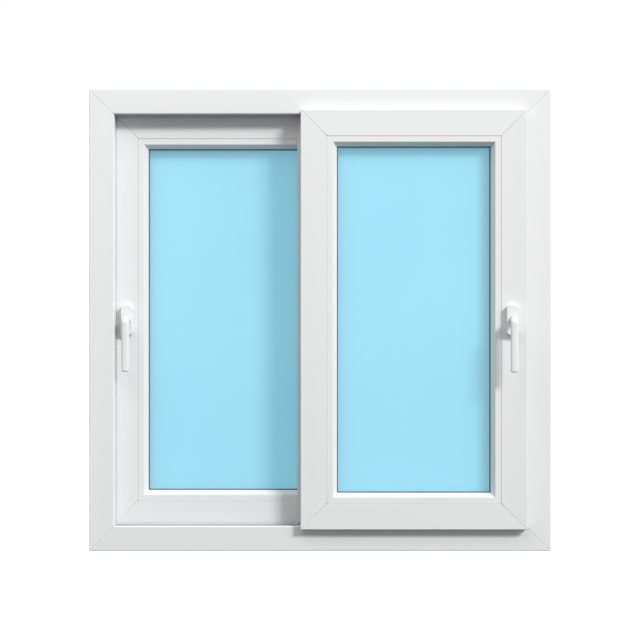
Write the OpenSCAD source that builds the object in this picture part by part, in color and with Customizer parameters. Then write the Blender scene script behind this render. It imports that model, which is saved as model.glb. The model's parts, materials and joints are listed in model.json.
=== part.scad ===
// Two-sash sliding window: a mitred hollow frame with two tracks, and two glazed sashes on rollers.
// X runs to the right seen from the room, Y away from the room, Z up.
// The origin is the middle of the frame's underside. Millimetres.

/* [Frame] */
// Overall width of the frame
frame_w = 1000; // [980:1:1040]
// Overall height of the frame
frame_h = 1000; // [900:1:1400]
// Depth of the frame, room face to outside face
frame_d = 120; // [120:1:130]
// Height of the room lip and the outside wall above the frame's outer edge
lip_h = 54; // [53:0.5:55]
// Height of the channel floor above the frame's outer edge
floor_h = 38; // [36:0.5:38]
// Height of the rib between the two tracks
rib_h = 50; // [46:0.5:51]
// Thickness of the outer walls of the hollow sections
wall = 2.5; // [2:0.1:2.8]

/* [Sash] */
// Width of a sash's body, without the overlap flange
sash_w = 473.5; // [460:0.5:476]
// Gap between the sill lip and the sash above it
sash_lift = 2; // [1.5:0.1:5]
// Gap between the sash's top edge and the head's lip
sash_head_gap = 0.2; // [0:0.1:3]
// Depth of a sash, room face to outside face
sash_d = 52; // [52:0.5:52]
// Width of the flat face from the body's edge to the glazing bead
face_w = 49; // [47:0.5:50]
// Width of the front sash's flange, which overlaps the frame
flange_w = 8; // [6:0.5:8]
// Travel of each sash
travel = 350; // [200:1:350]

/* [Handles] */
// Height of the handle axes above the underside of the frame
handle_z = 500; // [400:1:600]
// Distance from the sash body's edge to the handle axis
backset = 25.5; // [25.5:0.5:26]
// Length of a lever from its axis to its tip
lever_len = 112; // [90:1:130]
// Width of a lever's grip
grip_w = 17; // [14:0.5:20]
// How far a lever stands out from the sash's face
lever_proud = 50; // [46:1:52]

/* [Rollers] */
// Rolling radius of a roller, at the bottom of its groove
roller_r = 12; // [12:0.1:12]
// Height of the rails' rounded tops
rail_top = 50; // [49:0.5:50]

/* [Hidden] */
$fn = 48;
LEFT = 0;    // the sash on the rear track
RIGHT = 1;   // the sash on the front track

// Depths across the frame, from the room face to the outside face
y_room = -frame_d / 2;
y_out = frame_d / 2;
lip_d = 10;
rib_y0 = 2;
rib_y1 = 12;
out_wall_y = 40;
rail_front_y = -41;
rail_rear_y = 21;

// Depths across a sash, from its room face
flange_d = 19;
groove_y0 = 34;
groove_y1 = 48;
groove_depth = 24;
rebate_y = 44;
leg_w = 70;
rail_in_sash = 41;
glass_t = 4;
inner_pane_y = 21;
outer_pane_y = 37;
glass_edge = 54;
sight_w = 73;
edge_lip = 4;
edge_lip_y0 = 1;
edge_lip_y1 = 4.5;
bead_y0 = 1.5;
bead_y1 = 18;

// Where the two sashes stand
front_face_y = rail_front_y - rail_in_sash;
rear_face_y = rail_rear_y - rail_in_sash;
sash_z0 = lip_h + sash_lift;
sash_h = frame_h - lip_h - sash_head_gap - sash_z0;
rear_outer_x = -447;
front_outer_x = 439.5;
rear_meet_x = rear_outer_x + sash_w;
front_meet_x = front_outer_x - sash_w;
jamb_floor = frame_w / 2 - floor_h;
hz = handle_z - sash_z0;

// Rack and pinion: a half turn of the lever moves the rod by nine teeth
pinion_teeth = 18;
rack_pitch = 4;
pitch_r = pinion_teeth * rack_pitch / (2 * PI);
pinion_root_r = pitch_r - 1.45;
pinion_tip_r = pitch_r + 1.1;
rack_line = backset - pitch_r;
rack_base = rack_line - 1.6;
rack_tip = rack_line + 1.1;
tooth_pitch_w = 1.6;
tooth_tip_w = 0.8;
tooth_root_w = 2.4;
rod_inner = 9.5;
rod_half = 300;
pin_offsets = [-240, 240];
lock_drop = rack_pitch * pinion_teeth / 2;

// Locking pins and keeps, measured outwards from the sash's edge
keep_plate_x0 = 5;
keep_plate_x1 = 8;
pin_head_x0 = 9;
pin_head_x1 = 13;
pin_neck_r = 3;
pin_head_r = 5.5;
keep_z0 = -52;
keep_z1 = 20;
keep_foot = 10;
keep_screw_r = 2;

// Rollers
rail_half = 2;
rail_centre_z = rail_top - rail_half;
axle_r = 2.5;
groove_r = rail_half + 0.3;
rim_r = roller_r + groove_r;
axle_z = rail_centre_z + rim_r - sash_z0;
roller_w = 8;
carriage_inset = 70;

// Handles and gearboxes, measured from the handle's axis and the sash's face
cap_w = 27;
cap_h = 66;
cap_d = 15;
cap_corner = 9;
cap_wall = 2;
base_w = 22;
base_h = 60;
base_d = 4;
base_corner = 6;
hub_r = 8;
screw_dz = 21.5;
screw_hole_r = 2.6;
spindle_hole_r = 6.5;
spindle_w = 7;
spindle_y0 = -24;
spindle_y1 = 46;
gearbox_half = 20;

// Hooked interlock strips, measured from the meeting edge
hook_t = 1.6;
front_hook_d = 7.8;
rear_hook_d = 7.4;

// Fixings to the wall
fixing_y = -10;
fixing_r = 3.75;
fixing_z = [frame_h / 2 - 300, frame_h / 2 + 300];

// Drain covers on the outside of the sill
drain_x = [-250, 250];
drain_z0 = 12;
drain_z1 = 28;
drain_half = 28;
drain_d = 6;
flap_pin_z = 25;
flap_pin_y = y_out + 3.2;
flap_pin_r = 0.9;

// ---------------------------------------------------------------- shared shapes

// A box from its lowest to its highest corner
module block(a, b) {
    translate(a) cube([b[0] - a[0], b[1] - a[1], b[2] - a[2]]);
}

// A round bar along X, Y or Z, from one end to the other
module rod_x(r, x0, x1) { translate([x0, 0, 0]) rotate([0, 90, 0]) cylinder(r = r, h = x1 - x0); }
module rod_y(r, y0, y1) { translate([0, y1, 0]) rotate([90, 0, 0]) cylinder(r = r, h = y1 - y0); }

// A flat rectangle in a section, from its lowest to its highest corner
module cell(u0, y0, u1, y1) { translate([u0, y0]) square([u1 - u0, y1 - y0]); }

// One mitred side of a rectangle w by h, from a section drawn as [distance inwards, depth].
// The section may reach out beyond the rectangle by f, and inwards as far as t.
module bottom_member(w, h, f, t) {
    intersection() {
        translate([w / 2, 0, 0]) rotate([0, -90, 0]) linear_extrude(w + 2 * f, center = true) children();
        translate([0, 2 * frame_d, 0]) rotate([90, 0, 0]) linear_extrude(4 * frame_d)
            polygon([[-f, -f], [w + f, -f], [w - t, t], [t, t]]);
    }
}
module left_member(w, h, f, t) {
    intersection() {
        translate([0, 0, h / 2]) linear_extrude(h + 2 * f, center = true) children();
        translate([0, 2 * frame_d, 0]) rotate([90, 0, 0]) linear_extrude(4 * frame_d)
            polygon([[-f, -f], [-f, h + f], [t, h - t], [t, t]]);
    }
}
module top_member(w, h, f, t) {
    translate([0, 0, h]) mirror([0, 0, 1]) bottom_member(w, h, f, t) children();
}
module right_member(w, h, f, t) {
    translate([w, 0, 0]) mirror([1, 0, 0]) left_member(w, h, f, t) children();
}

// A square-cut steel tube in each side of a rectangle w by h, kept back from the corners
module tube_ring(w, h, u0, u1, y0, y1, back, thick) {
    module tube() {
        difference() {
            cell(u0, y0, u1, y1);
            cell(u0 + thick, y0 + thick, u1 - thick, y1 - thick);
        }
    }
    translate([w / 2, 0, 0]) rotate([0, -90, 0]) linear_extrude(w - 2 * back, center = true) tube();
    translate([w / 2, 0, h]) mirror([0, 0, 1]) rotate([0, -90, 0])
        linear_extrude(w - 2 * back, center = true) tube();
    translate([0, 0, h / 2]) linear_extrude(h - 2 * back, center = true) tube();
    translate([w, 0, h / 2]) mirror([1, 0, 0]) linear_extrude(h - 2 * back, center = true) tube();
}

// A rectangular ring inside a sash, u0 to u1 inwards and y0 to y1 deep
module sash_ring(u0, u1, y0, y1) {
    difference() {
        block([u0, y0, u0], [sash_w - u0, y1, sash_h - u0]);
        block([u1, y0 - 1, u1], [sash_w - u1, y1 + 1, sash_h - u1]);
    }
}

// ---------------------------------------------------------------- frame

module frame_section() {
    difference() {
        polygon([
            [0, y_room], [lip_h - 1.5, y_room], [lip_h, y_room + 1.5], [lip_h, y_room + lip_d],
            [floor_h, y_room + lip_d], [floor_h, rib_y0], [rib_h, rib_y0], [rib_h, rib_y1],
            [floor_h, rib_y1], [floor_h, out_wall_y], [lip_h, out_wall_y], [lip_h, y_out - 1.5],
            [lip_h - 1.5, y_out], [0, y_out]
        ]);
        cell(wall, y_room + wall, floor_h - wall, -27.5);
        cell(wall, -25, floor_h - wall, 15);
        cell(wall, 17.5, floor_h - wall, y_out - wall);
        cell(floor_h, y_room + wall, lip_h - wall, y_room + lip_d - wall);
        cell(floor_h, rib_y0 + wall, rib_h - wall, rib_y1 - wall);
        cell(floor_h, out_wall_y + wall, lip_h - wall, y_out - wall);
    }
}

// Puts a piece drawn from the frame's lower left corner in its place
module at_frame() { translate([-frame_w / 2, 0, 0]) children(); }

// Room for the wall screws, through a jamb from its channel floor to the outside
module fixing_holes(side_x, r) {
    for (z = fixing_z) translate([side_x, fixing_y, z]) rod_x(r, -floor_h - 2, floor_h + 2);
}

// Puts a keep's pieces on a jamb, at each locking pin
module at_keeps(side) {
    for (z = pin_offsets) {
        if (side == LEFT)
            translate([rear_outer_x, rail_rear_y, handle_z + z]) mirror([1, 0, 0]) children();
        else
            translate([front_outer_x, rail_front_y, handle_z + z]) children();
    }
}

function keep_reach(side) = side == LEFT ? jamb_floor + rear_outer_x : jamb_floor - front_outer_x;
function keep_screw_z() = [keep_z0 + keep_foot / 2, keep_z1 - keep_foot / 2];

module keep_pilots(side) {
    at_keeps(side) for (z = keep_screw_z())
        translate([0, 0, z]) rod_x(keep_screw_r, keep_reach(side) - 1, keep_reach(side) + 12);
}

module frame_head() {
    color("white") at_frame() top_member(frame_w, frame_h, 0, lip_h + 1) frame_section();
}

module frame_sill() {
    color("white") difference() {
        at_frame() bottom_member(frame_w, frame_h, 0, lip_h + 1) frame_section();
        for (x = drain_x) block([x - 15, y_out - wall - 1, 17], [x + 15, y_out + 1, 22]);
        for (x = drain_x, y = [-20, 30])
            block([x - 12, y, floor_h - wall - 1], [x + 12, y + 6, floor_h + 1]);
    }
}

module frame_left_jamb() {
    color("white") difference() {
        at_frame() left_member(frame_w, frame_h, 0, lip_h + 1) frame_section();
        fixing_holes(-frame_w / 2, fixing_r);
        keep_pilots(LEFT);
    }
}

module frame_right_jamb() {
    color("white") difference() {
        at_frame() right_member(frame_w, frame_h, 0, lip_h + 1) frame_section();
        fixing_holes(frame_w / 2, fixing_r);
        keep_pilots(RIGHT);
    }
}

module frame_reinforcement() {
    color("silver") difference() {
        at_frame() tube_ring(frame_w, frame_h, 4, 34, -23, 13, 80, 1.5);
        fixing_holes(-frame_w / 2, fixing_r + 1);
        fixing_holes(frame_w / 2, fixing_r + 1);
    }
}

module rail(y, x0, x1) {
    foot_half = 8;
    foot_t = 2;
    block([x0, y - foot_half, floor_h], [x1, y + foot_half, floor_h + foot_t]);
    block([x0, y - rail_half, floor_h + foot_t], [x1, y + rail_half, rail_centre_z]);
    translate([0, y, rail_centre_z]) rod_x(rail_half, x0, x1);
}

module track_rails() {
    rail_end = jamb_floor - 2;
    color("silver") {
        rail(rail_front_y, -frame_w / 2 + lip_h + 1, rail_end);
        rail(rail_rear_y, -rail_end, rail_end);
        translate([0, 0, frame_h]) mirror([0, 0, 1]) {
            rail(rail_front_y, -frame_w / 2 + lip_h + 1, rail_end);
            rail(rail_rear_y, -rail_end, rail_end);
        }
    }
}

module frame_brush_seals() {
    y0 = (rib_y0 + rib_y1) / 2 - 2.5;
    y1 = y0 + 5;
    end_x = frame_w / 2 - rib_h - 1;
    color("dimgray") {
        block([-end_x, y0, rib_h], [end_x, y1, sash_z0 - 0.5]);
        block([-end_x, y0, sash_z0 + sash_h + 0.5], [end_x, y1, frame_h - rib_h]);
        block([-frame_w / 2 + rib_h, y0, sash_z0 + 2], [rear_outer_x - 0.5, y1, sash_z0 + sash_h - 2]);
    }
}

// A clip-in strip that closes the front channel of the left jamb, flush with the lip
module left_jamb_cover() {
    x0 = -jamb_floor;
    x1 = -frame_w / 2 + lip_h;
    y0 = y_room + lip_d + 0.2;
    y1 = rear_face_y - 1.5;
    color("white") difference() {
        block([x0, y0, floor_h + 0.2], [x1, y1, frame_h - floor_h - 0.2]);
        block([x0 + 2, y0 + 2, floor_h - 1], [x1 - 2, y1 - 2, frame_h - floor_h + 1]);
    }
}

module keep(reach) {
    half_w = 8.5;
    difference() {
        union() {
            block([keep_plate_x0, -half_w, keep_z0], [keep_plate_x1, half_w, keep_z1]);
            block([keep_plate_x0, -half_w, keep_z0], [reach, half_w, keep_z0 + keep_foot]);
            block([keep_plate_x0, -half_w, keep_z1 - keep_foot], [reach, half_w, keep_z1]);
        }
        rod_x(pin_head_r + 1, keep_plate_x0 - 1, keep_plate_x1 + 1);
        block([keep_plate_x0 - 1, -pin_neck_r - 0.5, -lock_drop], [keep_plate_x1 + 1, pin_neck_r + 0.5, 0]);
        translate([0, 0, -lock_drop]) rod_x(pin_neck_r + 0.5, keep_plate_x0 - 1, keep_plate_x1 + 1);
        for (z = keep_screw_z()) translate([0, 0, z]) {
            rod_x(keep_screw_r, keep_plate_x0 - 1, reach + 1);
            rod_x(4.2, keep_plate_x0 - 1, keep_plate_x0 + 2.6);
        }
    }
}

module lock_keeps() {
    color("silver") for (side = [LEFT, RIGHT]) at_keeps(side) keep(keep_reach(side));
}

module keep_screws() {
    color("silver") for (side = [LEFT, RIGHT]) at_keeps(side) for (z = keep_screw_z())
        translate([0, 0, z]) {
            rod_x(4, keep_plate_x0 + 0.2, keep_plate_x0 + 2.6);
            rod_x(keep_screw_r, keep_plate_x0 + 2.6, keep_reach(side) + 10);
        }
}

// Soft buffers between each closed sash and its jamb, and a stop on the head for each open sash
module end_buffers() {
    half_w = 7;
    stop_l = 14;
    stop_z0 = frame_h - floor_h - 14;
    stop_z1 = frame_h - floor_h - 2;
    guide_end = 50;
    color("dimgray") {
        for (z = [110, frame_h - 150]) {
            block([-jamb_floor, rail_rear_y - half_w, z], [rear_outer_x - 0.5, rail_rear_y + half_w, z + 40]);
            block([front_outer_x + 0.5, rail_front_y - half_w, z], [jamb_floor, rail_front_y + half_w, z + 40]);
        }
        translate([front_meet_x + guide_end - travel - 1, rail_front_y, 0])
            block([-stop_l, rail_half + 0.5, stop_z0], [0, half_w, stop_z1]);
        translate([rear_meet_x - guide_end + travel + 1, rail_rear_y, 0])
            block([0, rail_half + 0.5, stop_z0], [stop_l, half_w, stop_z1]);
    }
}

module drain_covers() {
    color("white") for (x = drain_x) translate([x, 0, 0]) difference() {
        block([-drain_half, y_out, drain_z0], [drain_half, y_out + drain_d, drain_z1]);
        block([-20.5, y_out - 1, drain_z0 + 2], [20.5, y_out + drain_d + 1, drain_z1 - 1.6]);
        translate([0, flap_pin_y, flap_pin_z]) rod_x(flap_pin_r + 0.05, -22, 22);
    }
}

module drain_flap(x) {
    color("white") translate([x, flap_pin_y, flap_pin_z]) {
        rod_x(flap_pin_r, -21.8, 21.8);
        block([-19.8, -0.6, -10.3], [19.8, 0.6, 0]);
    }
}

// ---------------------------------------------------------------- sashes

// Puts a piece drawn for the right-hand sash in its place. Drawn, x runs from the meeting edge to
// the outer edge, y from the room face outwards and z from the bottom edge up.
module at_sash(side) {
    if (side == LEFT) translate([rear_meet_x, rear_face_y, sash_z0]) mirror([1, 0, 0]) children();
    else translate([front_meet_x, front_face_y, sash_z0]) children();
}

function flange(side) = side == LEFT ? 0 : flange_w;

module sash_section(side) {
    f = flange(side);
    difference() {
        union() {
            cell(0, 0, face_w, sash_d);
            cell(face_w - 1, rebate_y, leg_w, sash_d);
            if (f > 0) cell(-f, 0, 1, flange_d);
        }
        cell(-1, groove_y0, groove_depth, groove_y1);
        cell(3, 3, face_w - 3, 31);
        cell(groove_depth + 3, groove_y0, face_w - 3, 49);
        cell(face_w, rebate_y + wall, leg_w - wall, sash_d - wall);
    }
}

module sash_top_rail(side) {
    color("white") at_sash(side) top_member(sash_w, sash_h, flange(side), leg_w + 1) sash_section(side);
}

module sash_bottom_rail(side) {
    color("white") at_sash(side) bottom_member(sash_w, sash_h, flange(side), leg_w + 1) sash_section(side);
}

// Puts a piece on the handle's axis: y = 0 is the sash's face and +x points to the outer edge
module at_handle(side) { at_sash(side) translate([sash_w - backset, 0, hz]) children(); }

module sash_outer_stile(side) {
    color("white") difference() {
        at_sash(side) right_member(sash_w, sash_h, flange(side), leg_w + 1) sash_section(side);
        at_handle(side) {
            rod_y(spindle_hole_r, -1, groove_y0 + 1);
            for (z = [-screw_dz, screw_dz]) translate([0, 0, z]) rod_y(screw_hole_r, -1, 5);
            block([-16.5, groove_y0, -gearbox_half - 1], [backset + 1, groove_y1, gearbox_half + 1]);
        }
    }
}

module sash_meeting_stile(side) {
    color("white") at_sash(side) left_member(sash_w, sash_h, flange(side), leg_w + 1) sash_section(side);
}

module sash_reinforcement(side) {
    color("silver") difference() {
        at_sash(side) tube_ring(sash_w, sash_h, 5, 44, 5, 29, 80, 1.5);
        at_handle(side) {
            rod_y(spindle_hole_r, 0, 31);
            for (z = [-screw_dz, screw_dz]) translate([0, 0, z]) rod_y(screw_hole_r, 4, 31);
        }
    }
}

module bead_section() {
    difference() {
        polygon([[face_w + 0.2, bead_y0], [62, bead_y0], [70.5, 14.5], [70.5, bead_y1],
            [face_w + 0.2, bead_y1]]);
        polygon([[face_w + 2, bead_y0 + 1.8], [61, bead_y0 + 1.8], [67.5, 14.5], [67.5, bead_y1 - 1.8],
            [face_w + 2, bead_y1 - 1.8]]);
    }
}

module glazing_beads(side) {
    color("white") at_sash(side) {
        bottom_member(sash_w, sash_h, 0, 72) bead_section();
        top_member(sash_w, sash_h, 0, 72) bead_section();
        left_member(sash_w, sash_h, 0, 72) bead_section();
        right_member(sash_w, sash_h, 0, 72) bead_section();
    }
}

// The glazing gaskets on both sides of the glass, the pile behind the front sash's flange, and
// the lip on the rear sash's edges, which runs behind the lip of the frame
module sash_seals(side) {
    color("gray") at_sash(side) {
        sash_ring(62, sight_w, bead_y1, inner_pane_y);
        sash_ring(60, leg_w + 1.5, outer_pane_y + glass_t, rebate_y);
        if (side == RIGHT) difference() {
            block([-flange_w + 1, flange_d, -flange_w + 1],
                [sash_w + flange_w - 1, flange_d + 2.6, sash_h + flange_w - 1]);
            block([-flange_w + 4, flange_d - 1, -flange_w + 4],
                [sash_w + flange_w - 4, flange_d + 4, sash_h + flange_w - 4]);
        }
        if (side == LEFT) difference() {
            block([0, edge_lip_y0, -edge_lip], [sash_w + edge_lip, edge_lip_y1, sash_h + edge_lip]);
            block([-1, edge_lip_y0 - 1, 0], [sash_w, edge_lip_y1 + 1, sash_h]);
        }
    }
}

module pane(side, y0) {
    color("lightblue", 0.5) at_sash(side)
        block([glass_edge, y0, glass_edge], [sash_w - glass_edge, y0 + glass_t, sash_h - glass_edge]);
}

module spacer_bar(side) {
    color("silver") at_sash(side) sash_ring(glass_edge + 3, glass_edge + 10, inner_pane_y + glass_t, outer_pane_y);
}

// Where the two rollers of a sash sit, from its meeting edge
function roller_x(outer) = outer ? sash_w - carriage_inset : carriage_inset;

module roller_carriages(side) {
    y0 = rail_in_sash - 6;
    y1 = rail_in_sash + 6;
    inner = roller_w / 2 + 0.4;
    color("silver") at_sash(side) for (outer = [false, true]) translate([roller_x(outer), 0, axle_z]) {
        difference() {
            block([-22, y0, -7.3], [22, y1, 17.2]);
            block([-15.5, rail_in_sash - inner, -8], [15.5, rail_in_sash + inner, 15.2]);
            rod_y(axle_r, y0 - 1, y1 + 1);
        }
        rod_y(axle_r, y0, y1);
    }
}

module roller(side, outer) {
    color("dimgray") at_sash(side) translate([roller_x(outer), rail_in_sash, axle_z])
        rotate([90, 0, 0]) rotate_extrude($fn = 96) difference() {
            translate([axle_r + 0.06, -roller_w / 2]) square([rim_r - axle_r - 0.06, roller_w]);
            translate([rim_r, 0]) circle(r = groove_r);
        }
}

// Nylon blocks in the top groove, which straddle the head's rail
module top_guides(side) {
    slot = rail_half + 0.5;
    color("dimgray") at_sash(side) for (x = [50, sash_w - 90]) difference() {
        block([x, rail_in_sash - 6, sash_h - 18], [x + 40, rail_in_sash + 6, sash_h + 11]);
        block([x - 1, rail_in_sash - slot, sash_h + 3], [x + 41, rail_in_sash + slot, sash_h + 12]);
    }
}

// Hooked strips on the two meeting stiles, which nest when the window is shut
module interlock(side) {
    t = hook_t;
    z0 = 2;
    z1 = sash_h - 2;
    color("silver") at_sash(side) {
        if (side == RIGHT) {
            block([-15.5, sash_d, z0], [25, sash_d + t, z1]);
            block([-15.5, sash_d + t, z0], [-15.5 + t, sash_d + front_hook_d, z1]);
            block([-15.5 + t, sash_d + front_hook_d - t, z0], [5, sash_d + front_hook_d, z1]);
        } else {
            block([8, -t, z0], [48, 0, z1]);
            block([48 - t, -rear_hook_d, z0], [48, -t, z1]);
            block([48, -rear_hook_d, z0], [62, -rear_hook_d + t, z1]);
        }
    }
}

// ---------------------------------------------------------------- handles and locks

// A plate with rounded corners, centred on the handle's axis
module rounded_plate(w, h, r, y0, y1) {
    translate([0, y1, 0]) rotate([90, 0, 0]) linear_extrude(y1 - y0) {
        square([w - 2 * r, h], center = true);
        square([w, h - 2 * r], center = true);
        for (x = [-w / 2 + r, w / 2 - r], z = [-h / 2 + r, h / 2 - r]) translate([x, z]) circle(r = r);
    }
}

module handle_base(side) {
    color("silver") at_handle(side) difference() {
        rounded_plate(base_w, base_h, base_corner, -base_d, 0);
        rod_y(hub_r + 0.06, -base_d - 1, 1);
        for (z = [-screw_dz, screw_dz]) translate([0, 0, z]) rod_y(screw_hole_r, -base_d - 1, 1);
    }
}

module handle_cap(side) {
    color("white") at_handle(side) difference() {
        rounded_plate(cap_w, cap_h, cap_corner, -cap_d, 0);
        rounded_plate(cap_w - 2 * cap_wall, cap_h - 2 * cap_wall, cap_corner - cap_wall,
            -cap_d + cap_wall, 1);
        rod_y(hub_r + 0.3, -cap_d - 1, 0);
    }
}

module handle_screws(side) {
    color("silver") at_handle(side) for (z = [-screw_dz, screw_dz]) translate([0, 0, z]) {
        rod_y(4, -base_d - 2.5, -base_d);
        rod_y(screw_hole_r - 0.1, -base_d, 12);
    }
}

module lever(side) {
    grip_y0 = -lever_proud;
    grip_y1 = -lever_proud + 11;
    end_r = grip_w / 2;
    color("white") at_handle(side) difference() {
        union() {
            rod_y(hub_r, grip_y1 - 1, -0.5);
            rod_y(end_r, grip_y0, grip_y1);
            block([-end_r, grip_y0, -lever_len + end_r], [end_r, grip_y1, 0]);
            translate([0, 0, -lever_len + end_r]) rod_y(end_r, grip_y0, grip_y1);
        }
        block([-spindle_w / 2, spindle_y0, -spindle_w / 2], [spindle_w / 2, 1, spindle_w / 2]);
    }
}

module spindle(side) {
    color("silver") at_handle(side)
        block([-spindle_w / 2, spindle_y0, -spindle_w / 2], [spindle_w / 2, spindle_y1, spindle_w / 2]);
}

module gearbox(side) {
    y0 = rail_in_sash - 6.5;
    y1 = rail_in_sash + 6.5;
    open_x = backset - rack_tip - 0.6;
    color("silver") at_handle(side) difference() {
        block([-16, y0, -gearbox_half], [open_x, y1, gearbox_half]);
        rod_y(pinion_tip_r + 0.6, y0 + 1.5, y1 - 1.5);
        rod_y(6.06, y0 - 1, y1 + 1);
    }
}

module pinion(side) {
    y0 = rail_in_sash - 4.6;
    y1 = rail_in_sash + 4.6;
    color("goldenrod") at_handle(side) difference() {
        union() {
            translate([0, y1, 0]) rotate([90, 0, 0]) linear_extrude(y1 - y0) {
                circle(r = pinion_root_r);
                for (k = [0 : pinion_teeth - 1]) rotate((k + 0.5) * 360 / pinion_teeth)
                    polygon([[pinion_root_r - 0.6, -tooth_root_w / 2], [pitch_r, -tooth_pitch_w / 2],
                        [pinion_tip_r, -tooth_tip_w / 2], [pinion_tip_r, tooth_tip_w / 2],
                        [pitch_r, tooth_pitch_w / 2], [pinion_root_r - 0.6, tooth_root_w / 2]]);
            }
            rod_y(6, y0 - 1.8, y1 + 1.8);
        }
        block([-spindle_w / 2, y0 - 3, -spindle_w / 2], [spindle_w / 2, spindle_y1, spindle_w / 2]);
    }
}

// The rod in the outer stile's groove, with its rack and its two mushroom locking pins
module drive_rod(side) {
    rack_z0 = -3 * rack_pitch;
    rack_z1 = lock_drop + 4 * rack_pitch;
    x_edge = backset - 0.5;
    color("silver") at_handle(side) {
        block([backset - rod_inner, rail_in_sash - 5, -rod_half], [x_edge, rail_in_sash + 5, rod_half]);
        block([backset - rack_base, rail_in_sash - 4, rack_z0], [backset - rod_inner, rail_in_sash + 4, rack_z1]);
        translate([0, rail_in_sash + 4, 0]) rotate([90, 0, 0]) linear_extrude(8)
            for (k = [-2 : lock_drop / rack_pitch + 3]) translate([0, k * rack_pitch])
                polygon([[backset - rack_base, -tooth_root_w / 2], [backset - rack_line, -tooth_pitch_w / 2],
                    [backset - rack_tip, -tooth_tip_w / 2], [backset - rack_tip, tooth_tip_w / 2],
                    [backset - rack_line, tooth_pitch_w / 2], [backset - rack_base, tooth_root_w / 2]]);
        for (z = pin_offsets) translate([backset, rail_in_sash, z]) {
            rod_x(pin_neck_r, -0.5, pin_head_x0);
            rod_x(pin_head_r, pin_head_x0, pin_head_x1);
        }
    }
}

// ---------------------------------------------------------------- nodes

frame_head();
frame_sill();
frame_left_jamb();
frame_right_jamb();
frame_reinforcement();
track_rails();
frame_brush_seals();
left_jamb_cover();
lock_keeps();
keep_screws();
end_buffers();
drain_covers();
drain_flap(drain_x[0]);  // drain_flap_left
drain_flap(drain_x[1]);  // drain_flap_right

sash_top_rail(LEFT);  // left_sash_top_rail
sash_bottom_rail(LEFT);  // left_sash_bottom_rail
sash_outer_stile(LEFT);  // left_sash_outer_stile
sash_meeting_stile(LEFT);  // left_sash_meeting_stile
sash_reinforcement(LEFT);  // left_sash_reinforcement
glazing_beads(LEFT);  // left_glazing_beads
sash_seals(LEFT);  // left_seals
pane(LEFT, inner_pane_y);  // left_inner_pane
pane(LEFT, outer_pane_y);  // left_outer_pane
spacer_bar(LEFT);  // left_spacer_bar
roller_carriages(LEFT);  // left_roller_carriages
roller(LEFT, false);  // left_roller_inner
roller(LEFT, true);  // left_roller_outer
top_guides(LEFT);  // left_top_guides
interlock(LEFT);  // left_interlock
handle_base(LEFT);  // left_handle_base
handle_cap(LEFT);  // left_handle_cap
handle_screws(LEFT);  // left_handle_screws
lever(LEFT);  // left_lever
spindle(LEFT);  // left_spindle
gearbox(LEFT);  // left_gearbox
pinion(LEFT);  // left_pinion
drive_rod(LEFT);  // left_drive_rod

sash_top_rail(RIGHT);  // right_sash_top_rail
sash_bottom_rail(RIGHT);  // right_sash_bottom_rail
sash_outer_stile(RIGHT);  // right_sash_outer_stile
sash_meeting_stile(RIGHT);  // right_sash_meeting_stile
sash_reinforcement(RIGHT);  // right_sash_reinforcement
glazing_beads(RIGHT);  // right_glazing_beads
sash_seals(RIGHT);  // right_seals
pane(RIGHT, inner_pane_y);  // right_inner_pane
pane(RIGHT, outer_pane_y);  // right_outer_pane
spacer_bar(RIGHT);  // right_spacer_bar
roller_carriages(RIGHT);  // right_roller_carriages
roller(RIGHT, false);  // right_roller_inner
roller(RIGHT, true);  // right_roller_outer
top_guides(RIGHT);  // right_top_guides
interlock(RIGHT);  // right_interlock
handle_base(RIGHT);  // right_handle_base
handle_cap(RIGHT);  // right_handle_cap
handle_screws(RIGHT);  // right_handle_screws
lever(RIGHT);  // right_lever
spindle(RIGHT);  // right_spindle
gearbox(RIGHT);  // right_gearbox
pinion(RIGHT);  // right_pinion
drive_rod(RIGHT);  // right_drive_rod
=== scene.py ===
import json
import math
import random

import bmesh
import bpy
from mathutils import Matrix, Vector
from mathutils.geometry import tessellate_polygon

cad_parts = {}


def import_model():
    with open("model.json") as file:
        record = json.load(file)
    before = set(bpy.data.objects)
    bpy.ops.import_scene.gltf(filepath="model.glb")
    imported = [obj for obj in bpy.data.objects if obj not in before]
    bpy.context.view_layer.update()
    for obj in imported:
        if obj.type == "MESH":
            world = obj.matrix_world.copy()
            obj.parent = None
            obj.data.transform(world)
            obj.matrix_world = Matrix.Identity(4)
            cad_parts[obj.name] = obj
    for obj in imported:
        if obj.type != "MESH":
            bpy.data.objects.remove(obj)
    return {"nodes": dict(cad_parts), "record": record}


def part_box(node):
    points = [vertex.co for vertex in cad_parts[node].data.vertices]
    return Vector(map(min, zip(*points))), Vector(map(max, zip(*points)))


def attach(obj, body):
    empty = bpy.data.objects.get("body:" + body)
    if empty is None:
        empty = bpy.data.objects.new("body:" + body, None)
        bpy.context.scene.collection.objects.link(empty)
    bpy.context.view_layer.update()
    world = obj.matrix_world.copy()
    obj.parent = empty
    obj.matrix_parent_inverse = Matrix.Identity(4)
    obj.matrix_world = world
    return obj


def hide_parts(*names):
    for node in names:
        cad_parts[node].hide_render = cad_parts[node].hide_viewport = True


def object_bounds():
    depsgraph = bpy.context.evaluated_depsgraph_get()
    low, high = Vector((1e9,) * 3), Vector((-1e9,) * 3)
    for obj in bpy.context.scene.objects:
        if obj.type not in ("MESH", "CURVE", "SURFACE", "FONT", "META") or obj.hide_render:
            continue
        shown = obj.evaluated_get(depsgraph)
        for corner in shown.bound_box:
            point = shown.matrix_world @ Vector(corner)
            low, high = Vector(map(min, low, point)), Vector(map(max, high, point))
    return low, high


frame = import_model()
cad_lo, cad_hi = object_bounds()

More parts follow.
